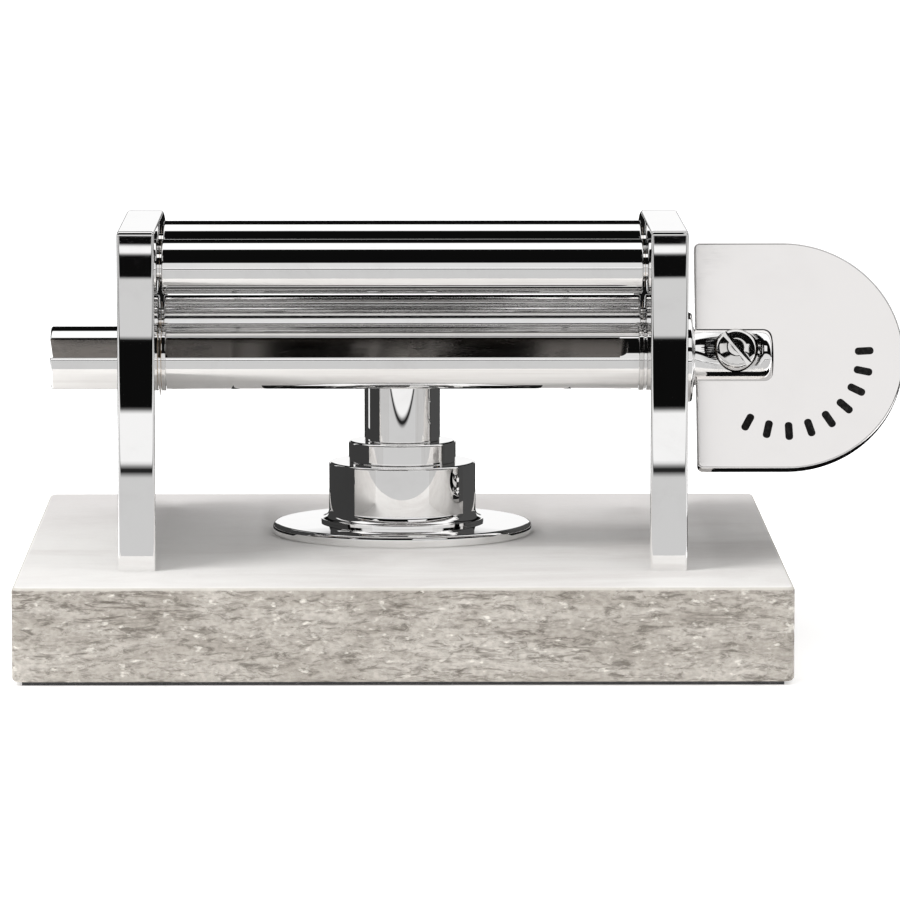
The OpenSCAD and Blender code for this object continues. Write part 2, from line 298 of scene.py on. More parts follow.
@dataclass(frozen=True)
class Marble:
    """Honed marble with level bedding: mottled on its sawn sides, pale and softly veiled on its top; the
    top's paleness is partly painted light from above, its upper arris has a painted highlight and the back
    of its top is painted in shade.
    """

    name: str = "honed_marble"
    light: Colour = (0.52, 0.485, 0.44)
    body: Colour = (0.37, 0.338, 0.298)
    shade: Colour = (0.115, 0.10, 0.08)
    rust: Colour = (0.085, 0.066, 0.05)
    crystal: Colour = (0.78, 0.745, 0.68)
    # painted highlight: a lighter colour for the upturned eased edge, where light from above catches it
    arris_highlight: Colour = (0.56, 0.535, 0.49)
    # the top's colours: partly the stone's own tone and partly painted light from above, so far paler than
    # the sides
    honed_and_lit: Colour = (0.79, 0.775, 0.755)
    veil: Colour = (0.70, 0.675, 0.655)
    # painted shade for the back of the top
    back_shade: Colour = (0.66, 0.635, 0.625)

    def material(self) -> Finish:
        """Makes the material.

        Returns:
            The new material.
        """
        bench = Bench(self.name)
        beds = bench.mapped((1.0, 1.0, 3.4), (1.2, -2.0, 0.0))
        thin_beds = bench.mapped((0.55, 0.8, 5.0), (2.0, 3.0, 0.0))
        clouds = bench.noise(beds, 34.0, 5.0, 0.6, 0.6)
        mottle = bench.noise(beds, 240.0, 8.0, 0.74, 0.7)
        grain = bench.noise(bench.mapped((1.0, 1.0, 1.5)), 800.0, 3.0, 0.6)
        seams = bench.noise(thin_beds, 70.0, 5.0, 0.62, 0.9)
        seam = bench.maths("SUBTRACT", seams, 0.5)
        line = bench.remap(bench.maths("ABSOLUTE", seam), 0.0, 0.035, (1.0, 0.0))
        where = bench.remap(bench.noise(beds, 26.0, 2.0), 0.48, 0.66)
        flecks = bench.remap(bench.noise(bench.mapped((1.0, 1.0, 2.2)), 330.0, 3.0, 0.6), 0.58, 0.72)
        dark = bench.remap(mottle, 0.34, 0.54, (1.0, 0.0))
        colour = bench.mix(bench.remap(clouds, 0.34, 0.66), self.body, self.light)
        colour = bench.mix(bench.maths("MULTIPLY", dark, 0.85), colour, self.shade)
        colour = bench.mix(bench.maths("MULTIPLY", flecks, 0.85), colour, self.crystal)
        rust = bench.maths("MULTIPLY", bench.maths("MULTIPLY", line, where), 0.7)
        colour = bench.mix(rust, colour, self.rust)
        colour = bench.mix(bench.remap(grain, 0.35, 0.65, (0.0, 0.30)), colour, self.shade)
        up = bench.add("ShaderNodeSeparateXYZ", {0: bench.add("ShaderNodeNewGeometry").outputs["Normal"]})
        # painted highlight on faces that turn upwards, such as the eased arris
        colour = bench.mix(bench.remap(up.outputs["Z"], 0.1, 0.5, (0.0, 0.85)), colour, self.arris_highlight)
        drift = bench.noise(bench.mapped((0.6, 1.4, 1.0), (0.0, 0.0, 9.0)), 30.0, 6.0, 0.6, 0.8)
        pale = bench.mix(bench.remap(drift, 0.42, 0.72), self.honed_and_lit, self.veil)
        # painted shade: the top grows darker towards the back
        depth = bench.add("ShaderNodeSeparateXYZ", {0: bench.place}).outputs["Y"]
        pale = bench.mix(bench.remap(depth, -0.02, 0.08, (0.0, 0.9)), pale, self.back_shade)
        # faces that turn upwards take the top's colours: painted light from above over the stone's own tone
        # and veils
        colour = bench.mix(bench.remap(up.outputs["Z"], 0.75, 0.98), colour, pale)
        bench.set(
            Base_Color=colour,
            Roughness=bench.remap(mottle, 0.3, 0.7, (0.58, 0.4)),
            Specular_IOR_Level=0.45,
        )
        bench.bump([(mottle, 0.10 * MM), (grain, 0.05 * MM)])
        return bench.material


@dataclass(frozen=True)
class Felt:
    """Pressed wool felt: short tangled fibres and a soft bloom at a low angle."""

    name: str = "grey_felt"
    fibre: Colour = (0.052, 0.052, 0.056)
    lint: Colour = (0.16, 0.16, 0.165)

    def material(self) -> Finish:
        """Makes the material.

        Returns:
            The new material.
        """
        bench = Bench(self.name)
        along = bench.noise(bench.mapped((1.0, 6.0, 2.0), (0.0, 0.0, 31.0)), 900.0, 4.0, 0.7, 1.5)
        across = bench.noise(bench.mapped((6.0, 1.0, 2.0), (0.0, 0.0, -17.0)), 900.0, 4.0, 0.7, 1.5)
        fibres = bench.maths("MAXIMUM", along, across)
        bench.set(
            Base_Color=bench.mix(bench.remap(fibres, 0.5, 0.78), self.fibre, self.lint),
            Roughness=0.95,
            Sheen_Weight=0.6,
            Sheen_Roughness=0.5,
        )
        bench.bump([(fibres, 0.12 * MM)])
        return bench.material


@dataclass(frozen=True)
class Enamel:
    """Black filler in the key's marks."""

    name: str = "black_filler"
    colour: Colour = (0.006, 0.0055, 0.0055)
    worn: Colour = (0.02, 0.019, 0.018)

    def material(self) -> Finish:
        """Makes the material.

        Returns:
            The new material.
        """
        bench = Bench(self.name)
        fine = bench.noise(bench.place, 1500.0, 3.0)
        bench.set(
            Base_Color=bench.mix(bench.remap(fine, 0.4, 0.8), self.colour, self.worn),
            Roughness=bench.remap(fine, 0.3, 0.7, (0.45, 0.7)),
            Specular_IOR_Level=0.12,
        )
        bench.bump([(fine, 0.01 * MM)])
        return bench.material


class Finishes:
    """Every finish on the machine, made once."""

    def __init__(self) -> None:
        """Makes the materials."""
        tint, stain = (0.93, 0.925, 0.92), (0.86, 0.85, 0.845)
        self.chrome = Polish("mirror_chrome", tint, stain, 0.006, 0.02, 0.0006).material()
        self.turned_chrome = Polish("turned_chrome", tint, stain, 0.012, 0.03, 0.0).material()
        self.ground_chrome = Polish("ground_chrome", tint, stain, 0.10, 0.14, 0.0).material()
        self.key = Polish(
            "satin_chrome", (0.90, 0.88, 0.87), (0.88, 0.86, 0.85),
            0.05, 0.08, 0.0004, 0.00005, (0.5, 6.0, 6.0),
        ).material()
        self.steel = Polish(
            "screw_steel", (0.84, 0.83, 0.82), (0.66, 0.65, 0.64), 0.05, 0.16, 0.001, 0.0004, (3.0, 3.0, 0.6)
        ).material()
        self.sawn = Polish(
            "sawn_slot", (0.10, 0.085, 0.072), (0.05, 0.042, 0.036), 0.25, 0.4, 0.002, 0.003, (0.4, 5.0, 5.0)
        ).material()
        self.bronze = Polish(
            "sintered_bronze", (0.62, 0.42, 0.22), (0.40, 0.26, 0.13), 0.32, 0.5, 0.004, 0.006
        ).material()
        self.marble = Marble().material()
        self.felt = Felt().material()
        self.enamel = Enamel().material()


# Meshes ------------------------------------------------------------------------------


def circle(centre: Point, radius: float, count: int) -> list[Point]:
    """Points of a full circle, counter-clockwise.

    Args:
        centre: its middle.
        radius: its radius.
        count: how many points it has.

    Returns:
        The points.
    """
    step = math.tau / count
    return [
        (centre[0] + radius * math.cos(i * step), centre[1] + radius * math.sin(i * step))
        for i in range(count)
    ]


def arc(centre: Point, radius: float, start: float, end: float, steps: int) -> list[Point]:
    """Points of an arc, both ends included.

    Args:
        centre: its middle.
        radius: its radius.
        start: the angle of its first point, in degrees.
        end: the angle of its last point, in degrees.
        steps: how many pieces it is cut into.

    Returns:
        The points.
    """
    angles = [math.radians(start + (end - start) * i / steps) for i in range(steps + 1)]
    return [(centre[0] + radius * math.cos(a), centre[1] + radius * math.sin(a)) for a in angles]


def rounded(corners: Sequence[Corner], steps: int = 6) -> list[Point]:
    """An open outline with its corners rounded.

    Args:
        corners: each corner's two coordinates and the radius that rounds it.
        steps: how many pieces each rounding is cut into.

    Returns:
        The outline's points.
    """
    points = [corners[0][:2]]
    for before, here, after in zip(corners, corners[1:], corners[2:]):
        middle = Vector(here[:2])
        way_in = (middle - Vector(before[:2])).normalized()
        way_out = (Vector(after[:2]) - middle).normalized()
        turn = way_in.angle_signed(way_out, 0.0)
        if here[2] <= 0 or abs(turn) < 1e-4:
            points.append(here[:2])
            continue
        side = 1.0 if turn < 0 else -1.0
        start = middle - way_in * here[2] * math.tan(abs(turn) / 2)
        centre = start + Vector((-way_in.y, way_in.x)) * here[2] * side
        arm = start - centre
        for i in range(steps + 1):
            angle = side * abs(turn) * i / steps
            spot = centre + Matrix.Rotation(angle, 2) @ arm
            points.append((spot.x, spot.y))
    points.append(corners[-1][:2])
    return points


class Shell:
    """A closed mesh built from loops of points and the faces between them."""

    def __init__(self) -> None:
        """Starts with nothing."""
        self.points: list[Vector] = []
        self.faces: list[tuple[int, ...]] = []

    def loop(self, points: Sequence[Sequence[float]]) -> list[int]:
        """Adds points and returns their numbers."""
        first = len(self.points)
        self.points += [Vector(p) for p in points]
        return list(range(first, len(self.points)))

    def wall(self, one: Sequence[int], other: Sequence[int]) -> None:
        """Joins two closed loops, of as many points each or with one of a single point.

        Args:
            one: the first loop.
            other: the second loop.
        """
        count = max(len(one), len(other))
        for i in range(count):
            j = (i + 1) % count
            face = [one[i % len(one)], one[j % len(one)], other[j % len(other)], other[i % len(other)]]
            self.faces.append(tuple(dict.fromkeys(face)))

    def stack(self, loops: Sequence[Sequence[int]]) -> None:
        """Joins each loop to the next."""
        for one, other in zip(loops, loops[1:]):
            self.wall(one, other)

    def cap(self, outer: Sequence[int], holes: Sequence[Sequence[int]] = ()) -> None:
        """Closes a flat loop, leaving holes open.

        Args:
            outer: the loop round the outside.
            holes: the loops round the holes.
        """
        numbers = list(outer) + [n for hole in holes for n in hole]
        loops = [[self.points[n] for n in loop] for loop in (outer, *holes)]
        self.faces += [tuple(numbers[i] for i in face) for face in tessellate_polygon(loops)]

    def piece(self, name: str, material: Finish, sharp: float = 35.0) -> Piece:
        """Makes the object.

        Args:
            name: its name.
            material: its finish.
            sharp: edges that turn further than this angle in degrees stay sharp.

        Returns:
            The new object.
        """
        mesh = bpy.data.meshes.new(name)
        mesh.from_pydata(self.points, [], self.faces)
        mesh.materials.append(material)
        obj = bpy.data.objects.new(name, mesh)
        bpy.context.scene.collection.objects.link(obj)
        return smooth(obj, sharp)


def smooth(obj: Piece, sharp: float = 35.0) -> Piece:
    """Turns every face outwards and shades the mesh smoothly between its sharp edges.

    Args:
        obj: the piece.
        sharp: edges that turn further than this angle in degrees stay sharp.

    Returns:
        The same piece.
    """
    work = bmesh.new()
    work.from_mesh(obj.data)
    bmesh.ops.remove_doubles(work, verts=work.verts, dist=1e-7)
    bmesh.ops.dissolve_degenerate(work, edges=work.edges, dist=1e-8)
    bmesh.ops.recalc_face_normals(work, faces=work.faces)
    work.to_mesh(obj.data)
    work.free()
    obj.data.shade_smooth()
    obj.data.set_sharp_from_angle(angle=math.radians(sharp))
    weigh = obj.modifiers.new("weigh", "WEIGHTED_NORMAL")
    weigh.mode, weigh.weight, weigh.keep_sharp = "FACE_AREA", 90, True
    return settle(obj)


def settle(obj: Piece) -> Piece:
    """Turns what a piece's modifiers make into its plain mesh.

    Args:
        obj: the piece.

    Returns:
        The same piece, with no modifiers.
    """
    bpy.context.view_layer.update()
    state = bpy.context.evaluated_depsgraph_get()
    mesh = bpy.data.meshes.new_from_object(
        obj.evaluated_get(state), preserve_all_data_layers=True, depsgraph=state
    )
    mesh.name = obj.name
    obj.modifiers.clear()
    obj.data = mesh
    return obj


def turned(
    name: str,
    profile: Sequence[Point],
    axis: Axis,
    centre: Sequence[float],
    material: Finish,
    segments: int = 160,
) -> Piece:
    """A piece turned on a lathe.

    Args:
        name: its name.
        profile: its outline as (place along the axis, radius), from end to end.
        axis: the direction of its axis.
        centre: a point on its axis, from which places along it are counted.
        material: its finish.
        segments: how many sides its circles have.

    Returns:
        The new piece.
    """
    shell = Shell()
    base = Vector(centre)
    loops = []
    for along, radius in profile:
        ring = circle((0.0, 0.0), radius, segments) if radius > 1e-9 else [(0.0, 0.0)]
        placed = [(along, a, b) if axis is Axis.X else (a, b, along) for a, b in ring]
        loops.append(shell.loop([base + Vector(p) for p in placed]))
    shell.stack(loops)
    if len(loops[0]) > 1:
        shell.wall(loops[-1], loops[0])
    return shell.piece(name, material)


def prism(
    outline: Sequence[Point], place: Callable[[float, float, float], Vector], low: float, high: float
) -> Shell:
    """A straight-sided block.

    Args:
        outline: its outline.
        place: gives the point for an outline point and a depth.
        low: the depth at which it starts.
        high: the depth at which it ends.

    Returns:
        The block's mesh.
    """
    shell = Shell()
    ends = [shell.loop([place(a, b, depth) for a, b in outline]) for depth in (low, high)]
    shell.wall(*ends)
    for end in ends:
        shell.cap(end)
    return shell


def layers(low: float, high: float, edge: float, steps: int = 5) -> list[Point]:
    """The outlines that a block with two rounded edges is built from.

    Args:
        low: the depth of its first face.
        high: the depth of its second face.
        edge: the radius of both edges.
        steps: how many pieces each rounding is cut into.

    Returns:
        Each outline's depth and how far it is drawn in.
    """
    turn = [math.radians(90 * i / steps) for i in range(steps + 1)]
    near = [(low + edge * (1 - math.cos(a)), edge * (1 - math.sin(a))) for a in turn]
    return near + [(high + low - depth, inset) for depth, inset in reversed(near)]


def cut(obj: Piece, tools: Sequence[Piece]) -> Piece:
    """Cuts tools out of a piece and throws them away.

    Args:
        obj: the piece.
        tools: the shapes to cut out of it.

    Returns:
        The same piece.
    """
    for tool in tools:
        knife = obj.modifiers.new("cut", "BOOLEAN")
        knife.operation, knife.solver, knife.object = "DIFFERENCE", "EXACT", tool
        knife.material_mode = "TRANSFER"
    settle(obj)
    for tool in tools:
        bpy.data.objects.remove(tool)
    return smooth(obj)


def ease(obj: Piece, width: float, steps: int = 2) -> Piece:
    """Breaks a piece's sharp edges.

    Args:
        obj: the piece.
        width: how wide each break is.
        steps: how many faces it has.

    Returns:
        The same piece.
    """
    bevel = obj.modifiers.new("ease", "BEVEL")
    bevel.width, bevel.segments, bevel.limit_method = width, steps, "ANGLE"
    bevel.angle_limit = math.radians(35)
    bevel.use_clamp_overlap = True
    return smooth(settle(obj))


def place_mesh(obj: Piece, matrix: Matrix) -> Piece:
    """Moves a piece's mesh, and leaves its object at the origin."""
    obj.data.transform(matrix)
    obj.data.update()
    return obj


def fit(obj: Piece, body: Body, slot: Slot, *nodes: str) -> Piece:
    """Puts a finished piece on its body in place of CAD nodes.

    Args:
        obj: the piece.
        body: the body that it rides on.
        slot: the record's material slot that it belongs to; not used.
        *nodes: the CAD nodes that it stands for.

    Returns:
        The same piece.
    """
    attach(obj, body.value)
    if nodes:
        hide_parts(*nodes)
    log.info("%s: %d faces on %s", obj.name, len(obj.data.polygons), body.value)
    return obj


def axis_of(joint: str) -> tuple[float, float]:
    """The Y and Z of a joint's axis."""
    spot = next(j["pos_m"] for j in frame["joints"] if j["name"] == joint)
    return spot[1], spot[2]


# Geometry Nodes ------------------------------------------------------------------------


class Recipe:
    """A Geometry Nodes tree with named inputs."""

    def __init__(self, name: str, inputs: dict[str, tuple[str, object]]) -> None:
        """Makes the tree.

        Args:
            name: its name.
            inputs: each input's socket type and value.
        """
        self.tree = bpy.data.node_groups.new(name, "GeometryNodeTree")
        self.values = {key: value for key, (_, value) in inputs.items()}
        for key, (kind, value) in inputs.items():
            socket = self.tree.interface.new_socket(name=key, in_out="INPUT", socket_type=kind)
            if kind != "NodeSocketMaterial":
                socket.default_value = value
        self.tree.interface.new_socket(name="Geometry", in_out="OUTPUT", socket_type="NodeSocketGeometry")
        self.source = self.tree.nodes.new("NodeGroupInput")

    def add(self, kind: str, inputs: Inputs | None = None, **settings: object) -> bpy.types.Node:
        """Adds a node; an input given as text is linked to the tree's input of that name.

        Args:
            kind: the node's type.
            inputs: values, sockets or names of the tree's inputs, by socket name or number.
            **settings: values for the node's own properties.

        Returns:
            The new node.
        """
        node = self.tree.nodes.new(kind)
        for key, value in settings.items():
            setattr(node, key, value)
        for key, value in (inputs or {}).items():
            if isinstance(value, str):
                value = self.source.outputs[value]
            if isinstance(value, Socket):
                self.tree.links.new(value, node.inputs[key])
            else:
                node.inputs[key].default_value = value
        return node

    def make(self, name: str, geometry: Socket) -> Piece:
        """Ends the tree in realised geometry with its material, and makes a plain mesh of it.

        Args:
            name: the new object's name.
            geometry: the socket that holds the shape.

        Returns:
            The new object.
        """
        solid = self.add("GeometryNodeRealizeInstances", {"Geometry": geometry})
        dressed = self.add("GeometryNodeSetMaterial", {"Geometry": solid.outputs[0], "Material": "Material"})
        end = self.tree.nodes.new("NodeGroupOutput")
        self.tree.links.new(dressed.outputs[0], end.inputs["Geometry"])
        obj = bpy.data.objects.new(name, bpy.data.meshes.new(name))
        bpy.context.scene.collection.objects.link(obj)
        modifier = obj.modifiers.new("recipe", "NODES")
        modifier.node_group = self.tree
        for item in self.tree.interface.items_tree:
            if item.in_out == "INPUT":
                modifier[item.identifier] = self.values[item.name]
        return smooth(settle(obj))


# The machine ---------------------------------------------------------------------------


@dataclass
class Slab:
    """The marble slab, with eased edges and a surface that isn't quite true, and its felt."""

    corner: float = 2.0 * MM
    edge: float = 0.9 * MM
    grid: float = 0.75 * MM
    uneven: float = 0.05 * MM
    pits: float = 0.10 * MM

    def build(self, finishes: Finishes) -> None:
        """Makes the slab and dresses the felt.

        Args:
            finishes: the machine's finishes.
        """
        low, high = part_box("base_slab")
        shell = Shell()
        rows = self.rows(low.z, high.z)
        loops = [shell.loop(self.ring(low, high, inset, z)) for inset, z in rows]
        shell.stack(loops)
        shell.cap(loops[0])
        shell.cap(loops[-1])
        slab = shell.piece("marble_slab", finishes.marble, 60.0)
        fit(slab, Body.ROOT, Slot.MARBLE, "base_slab")
        dress("base_felt", finishes.felt)

    def rows(self, z0: float, z1: float) -> list[Point]:
        """The slab's upright outline as (inset, height), from its foot to its top."""
        wall = int((z1 - z0 - 2 * self.edge) / self.grid)
        foot = [(self.edge - a, z0 + self.edge - b) for a, b in arc((0, 0), self.edge, 90, 0, 4)]
        head = [(self.edge - a, z1 - self.edge + b) for a, b in arc((0, 0), self.edge, 0, 90, 6)]
        side = [(0.0, z0 + self.edge + (z1 - z0 - 2 * self.edge) * i / wall) for i in range(1, wall)]
        return foot + side + head

    def ring(self, low: Vector, high: Vector, inset: float, z: float) -> list[Vector]:
        """The slab's outline at one height.

        Args:
            low: the slab's lowest corner.
            high: its highest corner.
            inset: how far the outline lies inside the slab's own.
            z: the height.

        Returns:
            The points, uneven as worked stone is.
        """
        r = self.corner
        count = int((high.x - low.x - 2 * r) / self.grid)
        points = []
        left, right, near, far = low.x + r, high.x - r, low.y + r, high.y - r
        centres = ((right, far), (left, far), (left, near), (right, near))
        for i, centre in enumerate(centres):
            turn = arc(centre, r - inset, 90 * i, 90 * i + 90, 5)
            following = centres[(i + 1) % 4]
            start = Vector(turn[-1])
            run = Vector((following[0] - centre[0], following[1] - centre[1]))
            points += turn + [tuple(start + run * k / count) for k in range(1, count)]
        middle = (low + high) / 2
        return [self.worn(Vector((x, y, z)), middle) for x, y in points]

    def worn(self, spot: Vector, middle: Vector) -> Vector:
        """Moves a point of the side inwards a little, more where there is a pit.

        Args:
            spot: the point.
            middle: the slab's middle.

        Returns:
            The moved point.
        """
        broad = noise.noise(spot / (11 * MM)) + 1
        pit = max(0.0, noise.noise(Vector((spot.x, spot.y, 2 * spot.z)) / (1.7 * MM)) - 0.25)
        depth = self.uneven * broad / 2 + self.pits * pit
        inwards = Vector((middle.x - spot.x, middle.y - spot.y, 0))
        if abs(inwards.x) > abs(inwards.y):
            return spot + Vector((math.copysign(1, inwards.x), 0, 0)) * depth
        return spot + Vector((0, math.copysign(1, inwards.y), 0)) * depth


@dataclass
class SidePlates:
    """The two chromed side plates: square in front, one large arc behind, bored for the axles."""

    edge: float = 0.6 * MM
    bush_d: float = 8.7 * MM
    bush_depth: float = 5.6 * MM
    shaft_bush_d: float = 16.0 * MM
    nose: float = 0.8 * MM
    arc_steps: int = 120

    def build(self, finishes: Finishes) -> None:
        """Makes both plates.

        Args:
            finishes: the machine's finishes.
        """
        for side in Side:
            node = f"{side.name.lower()}_side_plate"
            plate = self.plate(side, node, finishes.chrome)
            fit(plate, Body.ROOT, Slot.CHROME, node)

    def outline(self, low: Vector, high: Vector, inset: float) -> list[Point]:
        """The plate's outline in Y and Z, from the foot of its front, over the top, to its back.

        Args:
            low: the plate's lowest corner.
            high: its highest corner.
            inset: how far the outline lies inside the plate's own.

        Returns:
            The points.
        """
        radius = high.y
        nose = self.nose
        front = arc((low.y + nose, high.z - nose), nose - min(inset, 0.75 * nose), 180, 90, 6)
        front = [(max(y, low.y + inset), min(z, high.z - inset)) for y, z in front]
        back = arc((0.0, high.z - radius), radius - inset, 90, 0, self.arc_steps)
        foot_steps = 6
        rise = high.z - radius - low.z
        rear = [(radius - inset, low.z + rise * (1 - i / foot_steps)) for i in range(1, foot_steps + 1)]
        return [(low.y + inset, low.z)] + front + back + rear

    def plate(self, side: Side, node: str, material: Finish) -> Piece:
        """One plate with its bores.

        Args:
            side: which plate.
            node: the CAD node that it stands for.
            material: its finish.

        Returns:
            The plate.
        """
        low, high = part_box(node)
        shell = Shell()
        rows = layers(low.x, high.x, self.edge)
        loops = [shell.loop([(x, y, z) for y, z in self.outline(low, high, inset)]) for x, inset in rows]
        shell.stack(loops)
        inner, outer = (low.x, high.x) if side is Side.RIGHT else (high.x, low.x)
        through = circle(axis_of("shaft_turn"), self.shaft_bush_d / 2, 96)
        bore = {x: shell.loop([(x, y, z) for y, z in through]) for x in (inner, outer)}
        shell.wall(bore[inner], bore[outer])
        pockets = []
        floor_x = inner + side.value * self.bush_depth
        for joint in ("front_roller_spin", "rear_roller_spin", "lower_roller_spin"):
            hole = circle(axis_of(joint), self.bush_d / 2, 64)
            mouth = shell.loop([(inner, y, z) for y, z in hole])
            floor = shell.loop([(floor_x, y, z) for y, z in hole])
            shell.wall(mouth, floor)
            shell.cap(floor)
            pockets.append(mouth)
        inner_loop, outer_loop = (loops[0], loops[-1]) if side is Side.RIGHT else (loops[-1], loops[0])
        shell.cap(inner_loop, [bore[inner], *pockets])
        shell.cap(outer_loop, [bore[outer]])
        return shell.piece(f"{side.name.lower()}_plate", material)


@dataclass
class Rollers:
    """The pinch pair and the lower roller: ground bars with eased ends and turned journals."""

    ease: float = 0.35 * MM
    journal_d: float = 6.0 * MM
    journal_l: float = 5.7 * MM
    journal_edge: float = 0.35 * MM

    def build(self, finishes: Finishes) -> None:
        """Makes the three rollers.

        Args:
            finishes: the machine's finishes.
        """
        for body in (Body.FRONT, Body.REAR, Body.LOWER):
            low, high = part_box(body.value)
            middle = (low + high) / 2
            roller = turned(
                f"{body.value}_bar",
                self.profile((high.x - low.x) / 2, (high.z - low.z) / 2),
                Axis.X,
                (0.0, middle.y, middle.z),
                finishes.ground_chrome if body is Body.LOWER else finishes.turned_chrome,
            )
            fit(roller, body, Slot.CHROME, body.value)

    def profile(self, half: float, radius: float) -> list[Point]:
        """A roller's outline from its left journal to its right one.

        Args:
            half: half its length, journals included.
            radius: its radius.

        Returns:
            The points.
        """
        journal = self.journal_d / 2
        shoulder = half - self.journal_l
        left = [
            (-half, 0.0, 0.0),
            (-half, journal, self.journal_edge),
            (-shoulder, journal, 0.0),
            (-shoulder, radius, self.ease),
        ]
        right = [(-x, r, e) for x, r, e in reversed(left)]
        return rounded(left + right)


@dataclass
class WindingShaft:
    """The slotted shaft with its turned-down key end, the flanged bush and the snap rings."""

    radius: float = 6.55 * MM
    boss_radius: float = 5.85 * MM
    boss_x: float = 60.6 * MM
    boss_round: float = 2.0 * MM
    slot_w: float = 3.9 * MM
    slot_end: float = 47.0 * MM
    lip: float = 0.45 * MM
    tilt: float = 25.0
    ring_depth: float = 0.7 * MM
    ring_play: float = 0.1 * MM
    ring_gap: float = 3.0 * MM
    end_edge: float = 0.5 * MM
    step_edge: float = 0.4 * MM
    step_neck: float = 0.15 * MM
    bush_d: float = 16.0 * MM
    bush_play: float = 0.05 * MM
    bush_edge: float = 0.5 * MM
    ring_proud: float = 0.35 * MM
    key_slot: float = 2.7 * MM
    key_x: float = 60.95 * MM
    screw_x: float = 69.2 * MM
    seat: float = 3.6 * MM
    seat_d: float = 9.2 * MM

    def build(self, finishes: Finishes) -> None:
        """Makes the shaft, its rings and its right bush.

        Args:
            finishes: the machine's finishes.
        """
        shaft = self.shaft(finishes.turned_chrome, finishes.sawn)
        place_mesh(shaft, self.rest())
        fit(shaft, Body.SHAFT, Slot.CHROME, "winding_shaft")
        for side in Side:
            self.snap_ring(side, finishes.steel)
        self.flanged_bush(finishes.chrome)
        dress("left_shaft_bush", finishes.bronze)

    def rest(self) -> Matrix:
        """Puts what is made on the X axis onto the shaft's axis, at its rest angle."""
        y, z = axis_of("shaft_turn")
        return Matrix.Translation((0.0, y, z)) @ Matrix.Rotation(math.radians(-self.tilt), 4, "X")

    def shaft(self, material: Finish, sawn: Finish) -> Piece:
        """The shaft on the X axis, with every slot and seat cut.

        Args:
            material: its finish.
            sawn: the finish of its cut faces.

        Returns:
            The shaft.
        """
        low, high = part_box("winding_shaft")
        r, rb = self.radius, self.boss_radius
        groove = r - self.ring_depth
        rings = [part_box(f"{s.name.lower()}_snap_ring") for s in Side]
        corners: list[Corner] = [(low.x, 0.0, 0.0), (low.x, r, self.end_edge)]
        for start, end in ((a.x - self.ring_play, b.x + self.ring_play) for a, b in rings):
            corners += [(start, r, 0.0), (start, groove, 0.0), (end, groove, 0.0), (end, r, 0.0)]
        corners += [
            (self.boss_x, r, self.step_edge),
            (self.boss_x, rb, self.step_neck),
            (high.x, rb, self.boss_round),
            (high.x, 0.0, 0.0),
        ]
        bar = turned("slotted_shaft", rounded(corners, 8), Axis.X, (0.0, 0.0, 0.0), material, 192)
        return cut(bar, self.tools(low.x, high.x, sawn))

    def tools(self, x0: float, x1: float, material: Finish) -> list[Piece]:
        """The shapes cut out of the shaft.

        Args:
            x0: the shaft's left end.
            x1: its right end.
            material: the finish of the cut faces.

        Returns:
            The through slot, its lips, the key's slot and the screw's hole and seat.
        """
        half, past = self.slot_w / 2, 2 * MM
        reach = self.radius + past
        end = self.slot_end - half
        nose = arc((end, 0.0), half, -90, 90, 24)
        slot = [(x0 - past, half), (x0 - past, -half)] + nose
        shapes = [prism(slot, lambda a, b, d: Vector((a, d, b)), -reach, reach)]
        for side in (-1, 1):
            mouth = side * self.radius
            lips = [
                (mouth - side * 2 * self.lip, -half),
                (mouth + side * self.lip, -half - 1.5 * self.lip),
                (mouth + side * self.lip, half + 1.5 * self.lip),
                (mouth - side * 2 * self.lip, half),
            ]
            shapes.append(prism(lips, lambda a, b, d: Vector((d, a, b)), x0 - past, end))
        key = self.key_slot / 2
        box = [(-key, -reach), (key, -reach), (key, reach), (-key, reach)]
        shapes.append(prism(box, lambda a, b, d: Vector((d, a, b)), self.key_x, x1 + past))
        seat = circle((self.screw_x, 0.0), self.seat_d / 2, 64)
        shapes.append(prism(seat, lambda a, b, d: Vector((a, d, b)), -reach, -self.seat))
        return [shape.piece(f"tool_{i}", material) for i, shape in enumerate(shapes)]

    def snap_ring(self, side: Side, material: Finish) -> None:
        """An open ring in its groove, swept along an arc.

        Args:
            side: the end that it is at.
            material: its finish.
        """
        node = f"{side.name.lower()}_snap_ring"
        low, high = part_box(node)
        outer, inner = self.radius + self.ring_proud, self.radius - self.ring_depth
        gap = math.degrees(self.ring_gap / self.radius)
        recipe = Recipe(
            f"{node}_recipe",
            {
                "Radius": ("NodeSocketFloat", (outer + inner) / 2),
                "Start": ("NodeSocketFloat", math.radians(gap / 2)),
                "Sweep": ("NodeSocketFloat", math.radians(360 - gap)),
                "Depth": ("NodeSocketFloat", outer - inner),
                "Width": ("NodeSocketFloat", high.x - low.x),
                "Round": ("NodeSocketFloat", 0.12 * MM),
                "Material": ("NodeSocketMaterial", material),
            },
        )
        path = recipe.add(
            "GeometryNodeCurveArc",
            {"Resolution": 96, "Radius": "Radius", "Start Angle": "Start", "Sweep Angle": "Sweep"},
        )
        section = recipe.add(
            "GeometryNodeCurvePrimitiveQuadrilateral", {"Width": "Depth", "Height": "Width"}
        )
        soft = recipe.add(
            "GeometryNodeFilletCurve",
            {"Curve": section.outputs[0], "Radius": "Round", "Count": 3},
            mode="POLY",
        )
        swept = recipe.add(
            "GeometryNodeCurveToMesh",
            {"Curve": path.outputs[0], "Profile Curve": soft.outputs[0], "Fill Caps": True},
        )
        ring = recipe.make(f"{side.name.lower()}_ring", swept.outputs[0])
        upright = Matrix(((0, 0, 1, (low.x + high.x) / 2), (1, 0, 0, 0), (0, 1, 0, 0), (0, 0, 0, 1)))
        fit(place_mesh(ring, self.rest() @ upright), Body.SHAFT, Slot.STEEL, node)

